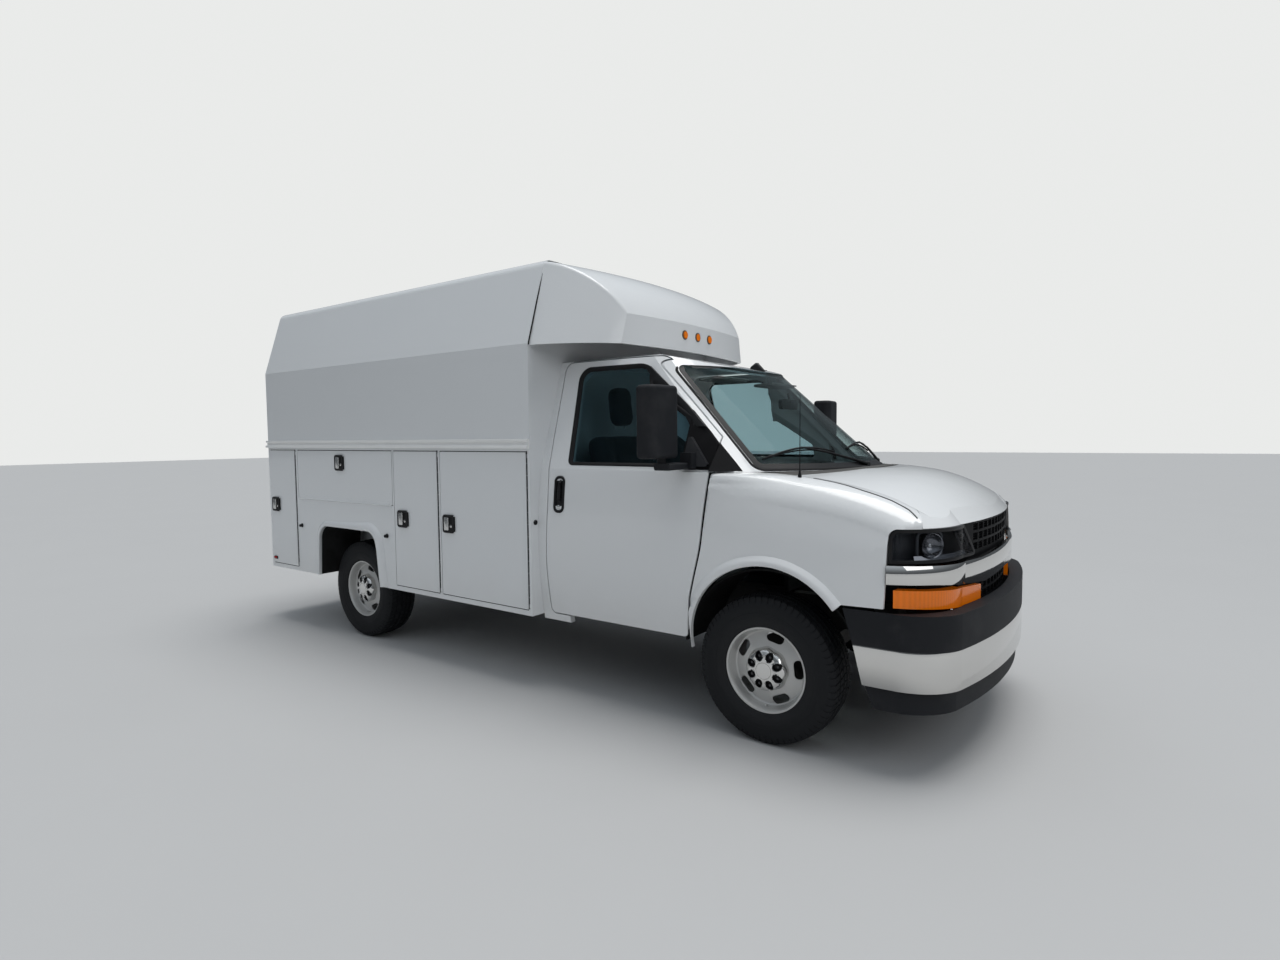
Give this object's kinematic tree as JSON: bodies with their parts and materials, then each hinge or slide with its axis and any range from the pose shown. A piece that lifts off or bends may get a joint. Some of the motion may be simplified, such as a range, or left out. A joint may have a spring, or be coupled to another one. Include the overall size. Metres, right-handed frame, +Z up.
{
  "type": "utility van with enclosed service body",
  "caption": "White cutaway-cab van with an enclosed service body: outside compartment doors, raised roof and a moulded front cap.",
  "frame": {"origin": "on the floor, midway between the front and rear bumpers and midway between the sides", "axes": "+X forward, +Y to the driver's side (left), +Z up"},
  "size_m": [5.9128, 2.56, 2.695],
  "materials": {
    "amber_lens": "moulded amber lens",
    "black_plastic": "grained black moulding",
    "bed_floor": "painted steel sheet",
    "body_paint": "white gloss",
    "cab_paint": "white gloss",
    "cap_paint": "white gelcoat",
    "cabin_floor": "dark mat",
    "frame_black": "black frame paint",
    "interior_plastic": "grained grey",
    "rail_aluminium": "satin extrusion",
    "engine_iron": "cast",
    "exhaust_steel": "dull",
    "chrome_trim": "polished",
    "tank_plastic": "moulded",
    "grille_plastic": "moulded",
    "lamp_glass": "smoked lens",
    "seat_fabric": "woven",
    "wheel_rim_plastic": "grained",
    "step_black": "black powder coat",
    "red_lens": "moulded red lens",
    "liner_plastic": "felted black",
    "windshield_glass": "lightly tinted",
    "tinted_glass": "tinted",
    "wiper_rubber": "matt",
    "mirror_plastic": "grained black",
    "knuckle_iron": "cast",
    "tyre_rubber": "treaded",
    "wheel_steel": "silver paint"
  },
  "bodies": {
    "van": {"amber_lamps": "amber_lens", "antennas": "black_plastic", "body_floor": "bed_floor", "body_front_wall": "body_paint", "body_upper": "body_paint", "bumper_fascia": "black_plastic", "cab_floor": "cabin_floor", "cab_shell": "cab_paint", "chassis_frame": "frame_black", "cowl": "black_plastic", "dashboard": "interior_plastic", "drip_rails": "rail_aluminium", "engine_block": "engine_iron", "exhaust": "exhaust_steel", "fenders": "cab_paint", "front_bumper": "chrome_trim", "front_cap": "cap_paint", "front_suspension": "frame_black", "fuel_tank": "tank_plastic", "grille": "grille_plastic", "grille_bar": "chrome_trim", "headlamps": "lamp_glass", "rear_axle": "frame_black", "rear_wall": "body_paint", "seats": "seat_fabric", "side_box_left": "body_paint", "side_box_right": "body_paint", "steering_wheel": "wheel_rim_plastic", "step_bumper": "step_black", "tail_lamps": "red_lens", "wheel_housings": "liner_plastic", "windshield": "windshield_glass", "wipers": "wiper_rubber"},
    "knuckle_left_body": {"knuckle_left": "knuckle_iron"},
    "wheel_front_left": {"tyre_front_left": "tyre_rubber", "rim_front_left": "wheel_steel"},
    "wheel_rear_left": {"tyre_rear_left": "tyre_rubber", "rim_rear_left": "wheel_steel"},
    "door_left": {"cab_door_left": "cab_paint", "door_glass_left": "tinted_glass", "mirror_left": "mirror_plastic"},
    "front_box_door_left": {"panel_front_left": "body_paint"},
    "second_box_door_left": {"panel_second_left": "body_paint"},
    "rear_box_door_left": {"panel_rear_left": "body_paint"},
    "drop_door_left": {"panel_drop_left": "body_paint"},
    "cargo_door_left": {"rear_door_left": "body_paint"},
    "knuckle_right_body": {"knuckle_right": "knuckle_iron"},
    "wheel_front_right": {"tyre_front_right": "tyre_rubber", "rim_front_right": "wheel_steel"},
    "wheel_rear_right": {"tyre_rear_right": "tyre_rubber", "rim_rear_right": "wheel_steel"},
    "door_right": {"cab_door_right": "cab_paint", "door_glass_right": "tinted_glass", "mirror_right": "mirror_plastic"},
    "front_box_door_right": {"panel_front_right": "body_paint"},
    "second_box_door_right": {"panel_second_right": "body_paint"},
    "rear_box_door_right": {"panel_rear_right": "body_paint"},
    "drop_door_right": {"panel_drop_right": "body_paint"},
    "cargo_door_right": {"rear_door_right": "body_paint"},
    "hood_body": {"hood": "cab_paint"}
  },
  "joints": [
    {"name": "steer_left", "type": "hinge", "parent": "van", "child": "knuckle_left_body", "pos_m": [1.9465, 0.692, 0.387], "axis": [0, 0, 1], "range_deg": [-30, 30]},
    {"name": "spin_front_left", "type": "hinge", "parent": "knuckle_left_body", "child": "wheel_front_left", "pos_m": [1.9465, 0.841, 0.387], "axis": [0, 1, 0], "continuous": true},
    {"name": "spin_rear_left", "type": "hinge", "parent": "van", "child": "wheel_rear_left", "pos_m": [-1.5845, 0.841, 0.387], "axis": [0, 1, 0], "continuous": true},
    {"name": "cab_door_hinge_left", "type": "hinge", "parent": "van", "child": "door_left", "pos_m": [1.6415, 1.01, 0.9], "axis": [0, 0, -1], "range_deg": [0, 68]},
    {"name": "front_box_door_left_hinge", "type": "hinge", "parent": "van", "child": "front_box_door_left", "pos_m": [0.3955, 1.08, 1], "axis": [0, 0, -1], "range_deg": [0, 90]},
    {"name": "second_box_door_left_hinge", "type": "hinge", "parent": "van", "child": "second_box_door_left", "pos_m": [-0.4645, 1.08, 1], "axis": [0, 0, -1], "range_deg": [0, 90]},
    {"name": "rear_box_door_left_hinge", "type": "hinge", "parent": "van", "child": "rear_box_door_left", "pos_m": [-2.3305, 1.08, 1], "axis": [0, 0, -1], "range_deg": [0, 90]},
    {"name": "drop_door_left_hinge", "type": "hinge", "parent": "van", "child": "drop_door_left", "pos_m": [-1.6335, 1.08, 1.098], "axis": [-1, 0, 0], "range_deg": [0, 175]},
    {"name": "cargo_door_left_hinge", "type": "hinge", "parent": "van", "child": "cargo_door_left", "pos_m": [-2.7715, 0.609, 1.6], "axis": [0, 0, -1], "range_deg": [0, 110]},
    {"name": "steer_right", "type": "hinge", "parent": "van", "child": "knuckle_right_body", "pos_m": [1.9465, -0.692, 0.387], "axis": [0, 0, 1], "range_deg": [-30, 30]},
    {"name": "spin_front_right", "type": "hinge", "parent": "knuckle_right_body", "child": "wheel_front_right", "pos_m": [1.9465, -0.841, 0.387], "axis": [0, 1, 0], "continuous": true},
    {"name": "spin_rear_right", "type": "hinge", "parent": "van", "child": "wheel_rear_right", "pos_m": [-1.5845, -0.841, 0.387], "axis": [0, 1, 0], "continuous": true},
    {"name": "cab_door_hinge_right", "type": "hinge", "parent": "van", "child": "door_right", "pos_m": [1.6415, -1.01, 0.9], "axis": [0, 0, 1], "range_deg": [0, 68]},
    {"name": "front_box_door_right_hinge", "type": "hinge", "parent": "van", "child": "front_box_door_right", "pos_m": [0.3955, -1.08, 1], "axis": [0, 0, 1], "range_deg": [0, 90]},
    {"name": "second_box_door_right_hinge", "type": "hinge", "parent": "van", "child": "second_box_door_right", "pos_m": [-0.4645, -1.08, 1], "axis": [0, 0, 1], "range_deg": [0, 90]},
    {"name": "rear_box_door_right_hinge", "type": "hinge", "parent": "van", "child": "rear_box_door_right", "pos_m": [-2.3305, -1.08, 1], "axis": [0, 0, 1], "range_deg": [0, 90]},
    {"name": "drop_door_right_hinge", "type": "hinge", "parent": "van", "child": "drop_door_right", "pos_m": [-1.6335, -1.08, 1.098], "axis": [1, 0, 0], "range_deg": [0, 175]},
    {"name": "cargo_door_right_hinge", "type": "hinge", "parent": "van", "child": "cargo_door_right", "pos_m": [-2.7715, -0.609, 1.6], "axis": [0, 0, 1], "range_deg": [0, 110]},
    {"name": "hood_hinge", "type": "hinge", "parent": "van", "child": "hood_body", "pos_m": [1.9265, 0, 1.372], "axis": [0, -1, 0], "range_deg": [0, 48]}
  ],
  "couplings": [
    {"joint": "steer_right", "follows": "steer_left", "ratio": 1}
  ]
}
